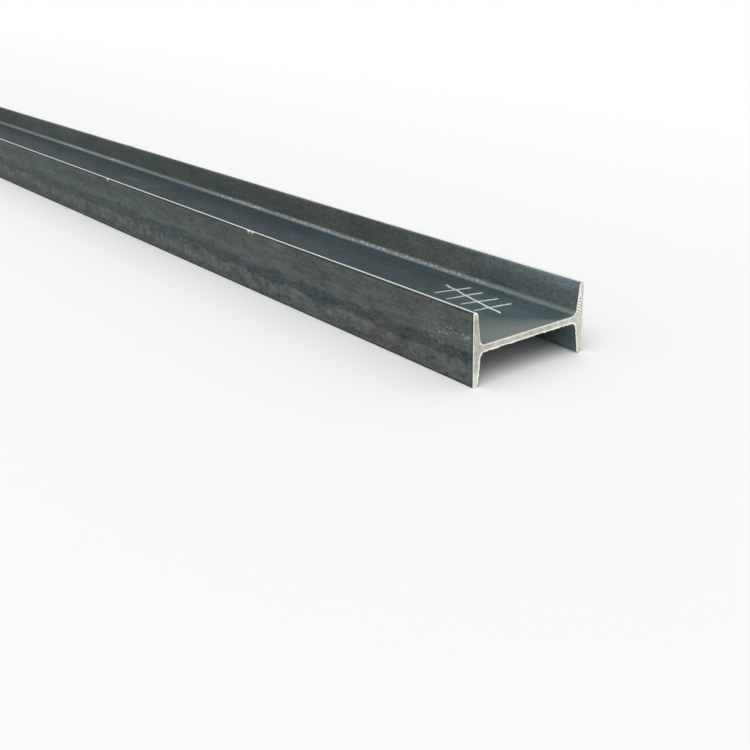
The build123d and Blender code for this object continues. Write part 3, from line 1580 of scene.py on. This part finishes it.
@dataclass(frozen=True)
class SawnSteel:
    """Finish of the sawn ends: pale bare steel with slanted saw marks, faint stains and a bright rim.

    The +Y flange's upper leg is streaked and bright, with most of the saw marks. The windows below
    blotch_edge are places across the section and heights over the middle of the web. The tone takes the
    saw marks, the fine grain and the -Y flange's shoulder, the light takes the +Y side, its leg and the
    -Y flange's foot, and the rim takes the fine grain and the broken one.
    """

    beam: RolledBeam
    bare: Colour = (0.55, 0.552, 0.478)
    dull: Colour = (0.40, 0.40, 0.345)
    bright: Paint = Paint((0.93, 0.93, 0.88))
    speck: Paint = Paint((0.20, 0.20, 0.17), 0.7)
    rust: Paint = Paint((0.50, 0.36, 0.29), 0.28)
    green: Paint = Paint((0.46, 0.53, 0.48), 0.30)
    tone: Weights = (1.55, -0.78, -0.95, -0.2)
    light: Weights = (0.0, 0.25, 1.0, 0.4)
    streak_light: Weights = (0.35, 0.6)
    rim_light: Weights = (0.25, 0.7, 0.55)
    roughness: Weights = (0.46, 0.12)
    height: Weights = (0.0, 0.7, 0.3)
    warp: Pattern = Pattern(even(30 * MM), detail=2)
    faint: Pattern = Pattern(even(26 * MM), detail=2, shift=2.0, edge=Window(0.46, 0.62))
    blotch: Pattern = Pattern(even(8 * MM), detail=5, roughness=0.7, shift=4.0)
    stain: Pattern = Pattern((50 * MM, 34 * MM, 34 * MM), shift=6.0, edge=Window(0.56, 0.70))
    cool: Pattern = Pattern((60 * MM, 40 * MM, 40 * MM), detail=2, shift=8.0, edge=Window(0.52, 0.68))
    fine: Pattern = Pattern(even(2.2 * MM), detail=2, shift=9.0)
    pits: Pattern = Pattern(even(3.0 * MM), detail=2, shift=10.0, edge=Window(0.60, 0.70))
    streaks: Pattern = Pattern((60 * MM, 2.4 * MM, 14 * MM), detail=2, shift=12.0)
    broken: Pattern = Pattern(even(5 * MM), detail=2, shift=16.0, edge=Window(0.30, 0.62))
    mark_pitch: float = 3.6 * MM
    mark_slope: float = math.radians(35)
    mark_warp: float = 5.0
    faint_marks: float = 0.16
    mark_edge: Window = Window(0.55, 0.90)
    blotch_edge: Window = Window(0.40, 0.60)
    leg: Window = Window(80 * MM, 88 * MM, 94.5 * MM, 97.2 * MM)
    leg_foot: Window = Window(4 * MM, 10 * MM)
    marked_leg: Window = Window(32 * MM, 26 * MM)
    leg_back: Window = Window(91.5 * MM, 94 * MM)
    leg_top: Window = Window(30 * MM, 40 * MM)
    lit_side: Window = Window(40 * MM, 90 * MM)
    near_foot: Window = Window(-86 * MM, -90 * MM)
    foot_height: Window = Window(-26 * MM, -36 * MM)
    near_shoulder: Window = Window(-88 * MM, -91 * MM)
    shoulder_height: Window = Window(24 * MM, 30 * MM, 38 * MM, 44 * MM)
    crown_height: Window = Window(45.5 * MM, 49.5 * MM)
    dull_crown: Window = Window(85 * MM, 90 * MM)
    dull_rim: Window = Window(93.5 * MM, 97.5 * MM)
    near_inner: Window = Window(-94.5 * MM, -92.5 * MM, -86 * MM, -80 * MM)
    inner_height: Window = Window(6 * MM, 12 * MM, 39 * MM, 43 * MM)
    leg_back_loss: float = 0.45
    back_loss: float = 0.75
    inner_loss: float = 0.65
    crown_loss: float = 0.55
    crown_light: float = 0.9
    relief: float = 0.25 * MM
    metal: float = 0.35
    gloss: float = 0.4

    def saw_marks(self, board: BeamBoard) -> Number:
        """Waves of the saw, from 0 to 1: half of 1 + the sine of the phase across their slope.

        Args:
            board: The material's board.

        Returns:
            The waves.
        """
        across = board.y * math.sin(self.mark_slope) + board.z * math.cos(self.mark_slope)
        phase = across * (2 * math.pi / self.mark_pitch) + self.mark_warp * board.noise(self.warp)
        return (1 + phase.sine()) / 2

    def lit_share(self, board: BeamBoard, leg: Number) -> Number:
        """Where the ground steel is brighter: the +Y side, its streaked leg, and the other flange's foot.

        Args:
            board: The material's board.
            leg: How far a place is in the +Y flange's upper leg.

        Returns:
            The share of bright steel.
        """
        leg = leg * (1 - self.leg_back_loss * board.patch(self.leg_back, self.leg_top))
        leg = leg * weighted(self.streak_light, board.noise(self.streaks))
        foot = board.patch(self.near_foot, self.foot_height)
        return weighted(self.light, board.y.within(self.lit_side), leg, foot).at_most(1)

    def shine(self, board: BeamBoard, fine: Number) -> Number:
        """Bright rim and crown, duller on the +Y flange's back and crown and on the -Y flange's inner side.

        Args:
            board: The material's board.
            fine: The fine grain.

        Returns:
            The share of bright steel.
        """
        rim = board.mask(Mask.RIM) * (1 - self.back_loss * board.y.within(self.dull_rim))
        rim = rim * (1 - self.inner_loss * board.patch(self.near_inner, self.inner_height))
        rim = rim * weighted(self.rim_light, fine, board.noise(self.broken))
        crown = 1 - self.crown_loss * board.y.within(self.dull_crown)
        crown = crown * board.up.within(self.crown_height)
        return (rim + self.crown_light * crown).at_most(1)

    def material(self) -> bpy.types.Material:
        """Builds the finish.

        Returns:
            The material.
        """
        material = new_material("sawn_steel")
        board = BeamBoard(material.node_tree, self.beam)
        blotch, fine, marks = board.noise(self.blotch), board.noise(self.fine), self.saw_marks(board)
        leg = board.patch(self.leg, self.leg_foot)
        marked = leg * board.up.within(self.marked_leg)
        strength = (self.faint_marks * board.noise(self.faint) + marked).at_most(1)
        shoulder = board.patch(self.near_shoulder, self.shoulder_height)
        tone = weighted(self.tone, marks.within(self.mark_edge) * strength, fine, shoulder)

        colour = board.mix(blotch.within(self.blotch_edge), self.dull, self.bare)
        colour = board.lay(self.rust, board.noise(self.stain), colour)
        colour = board.lay(self.green, board.noise(self.cool), colour)
        colour = board.lay(self.bright, self.lit_share(board, leg), colour)
        colour = board.scale(colour, tone)
        colour = board.lay(self.speck, board.noise(self.pits), colour)
        colour = board.lay(self.bright, self.shine(board, fine), colour)
        board.surface({
            "Base Color": colour,
            "Roughness": weighted(self.roughness, blotch),
            "Metallic": self.metal,
            "Specular IOR Level": self.gloss,
            "Normal": board.bump(weighted(self.height, marks * strength, fine), self.relief),
        })
        return material


@dataclass(frozen=True)
class Studio:
    """Pale floor, plain soft light and the photograph's camera."""

    position: tuple[float, float, float] = (3.9302, -0.9461, 0.5393)
    azimuth: float = 53.409
    elevation: float = 22.439
    roll: float = 1.533
    focal_pixels: float = 1063.1
    picture_width: float = 750.0
    sensor_width: float = 36.0
    floor_half_size: float = 60.0
    floor_drop: float = 0.3 * MM
    floor_tone: Colour = (0.92, 0.92, 0.92)
    fade_start: float = 0.35
    fade_end: float = 1.9
    sky_level: float = 0.70
    sun_level: float = 1.25
    sun_angle: float = math.radians(50)
    sun_from: tuple[float, float, float] = (0.55, -0.55, 1.25)

    def build(self, beam_half_length: float) -> None:
        """Makes the floor, the sky, the lamp and the camera.

        Args:
            beam_half_length: Half of the beam's length.
        """
        self.floor(beam_half_length)
        self.sky()
        self.lamp()
        self.camera()
        bpy.context.scene.view_settings.view_transform = "Standard"

    @staticmethod
    def seen_directly(board: Board) -> Number:
        """Tells the rays that carry the background: from the camera, a reflection or through glass.

        Args:
            board: The board of the floor or the sky.

        Returns:
            1 for such rays and 0 for the others.
        """
        light_path = board.node("ShaderNodeLightPath")
        names = ("Is Camera Ray", "Is Glossy Ray", "Is Transmission Ray")
        camera, glossy, through = (Number(board, light_path.outputs[name]) for name in names)
        return camera.at_least(glossy).at_least(through)

    def floor(self, beam_half_length: float) -> None:
        """Large plane whose tone turns to plain white away from the beam, with the shadow kept beside it.

        Args:
            beam_half_length: Half of the beam's length, from which the fade is measured.
        """
        far = self.floor_half_size
        corners = [(-far, -far), (far, -far), (far, far), (-far, far)]
        mesh = bpy.data.meshes.new("floor")
        mesh.from_pydata([(x, y, -self.floor_drop) for x, y in corners], [], [(0, 1, 2, 3)])
        floor = new_object("floor", mesh)

        material = new_material("pale_floor")
        board = Board(material.node_tree)
        x, y, _ = board.axes(board.place)
        away = (abs(x) - beam_half_length).at_least(0).hypot(y)
        fade = away.step(self.fade_start, self.fade_end) * self.seen_directly(board)
        plain = board.node("ShaderNodeBsdfDiffuse", inputs={"Color": self.floor_tone})
        white = board.node("ShaderNodeEmission", inputs={"Color": (1.0, 1.0, 1.0), "Strength": 1.0})
        both = board.node("ShaderNodeMixShader", inputs={0: fade, 1: plain.outputs[0], 2: white.outputs[0]})
        board.node("ShaderNodeOutputMaterial", inputs={"Surface": both.outputs[0]})
        mesh.materials.append(material)

    def sky(self) -> None:
        """Even sky light, which shows plain white where it is seen or mirrored."""
        world = bpy.data.worlds.new("studio")
        world.use_nodes = True
        bpy.context.scene.world = world
        board = Board(world.node_tree)
        level = self.sky_level + (1 - self.sky_level) * self.seen_directly(board)
        light = board.node("ShaderNodeBackground", inputs={"Color": (1.0, 1.0, 1.0), "Strength": level})
        board.node("ShaderNodeOutputWorld", inputs={"Surface": light.outputs[0]})

    def lamp(self) -> None:
        """One wide, soft sun that gives the beam its shadow."""
        sun = bpy.data.lights.new("soft_key", "SUN")
        sun.energy = self.sun_level
        sun.angle = self.sun_angle
        lamp = new_object("soft_key", sun)
        lamp.rotation_euler = Vector(self.sun_from).to_track_quat("Z", "Y").to_euler()

    def camera(self) -> None:
        """Camera at the photograph's place: azimuth 0 looks along +Y, and the roll turns it clockwise."""
        azimuth, elevation, roll = (math.radians(a) for a in (self.azimuth, self.elevation, self.roll))
        ahead = Vector((
            -math.sin(azimuth) * math.cos(elevation),
            math.cos(azimuth) * math.cos(elevation),
            -math.sin(elevation),
        ))
        level_right = ahead.cross(Vector((0, 0, 1))).normalized()
        level_up = level_right.cross(ahead)
        up = math.cos(roll) * level_up + math.sin(roll) * level_right
        right = ahead.cross(up)
        lens = bpy.data.cameras.new("photo_view")
        lens.sensor_width = self.sensor_width
        lens.lens = self.sensor_width * self.focal_pixels / self.picture_width
        lens.clip_end = 4 * self.floor_half_size
        camera = new_object("photo_view", lens)
        turn = Matrix((right, up, -ahead)).transposed().to_4x4()
        camera.matrix_world = Matrix.Translation(self.position) @ turn
        bpy.context.scene.camera = camera


def main() -> None:
    """Builds the beam and the studio round it."""
    logging.basicConfig(level=logging.INFO, format="%(name)s: %(message)s")
    beam = RolledBeam.from_node("i_beam")
    piece = beam.build()
    beam.dress(piece)
    log.info("%s: %d points, %d quads", piece.name, len(piece.data.vertices), len(piece.data.polygons))
    Studio().build(beam.length / 2)


if __name__ == "__main__":
    main()
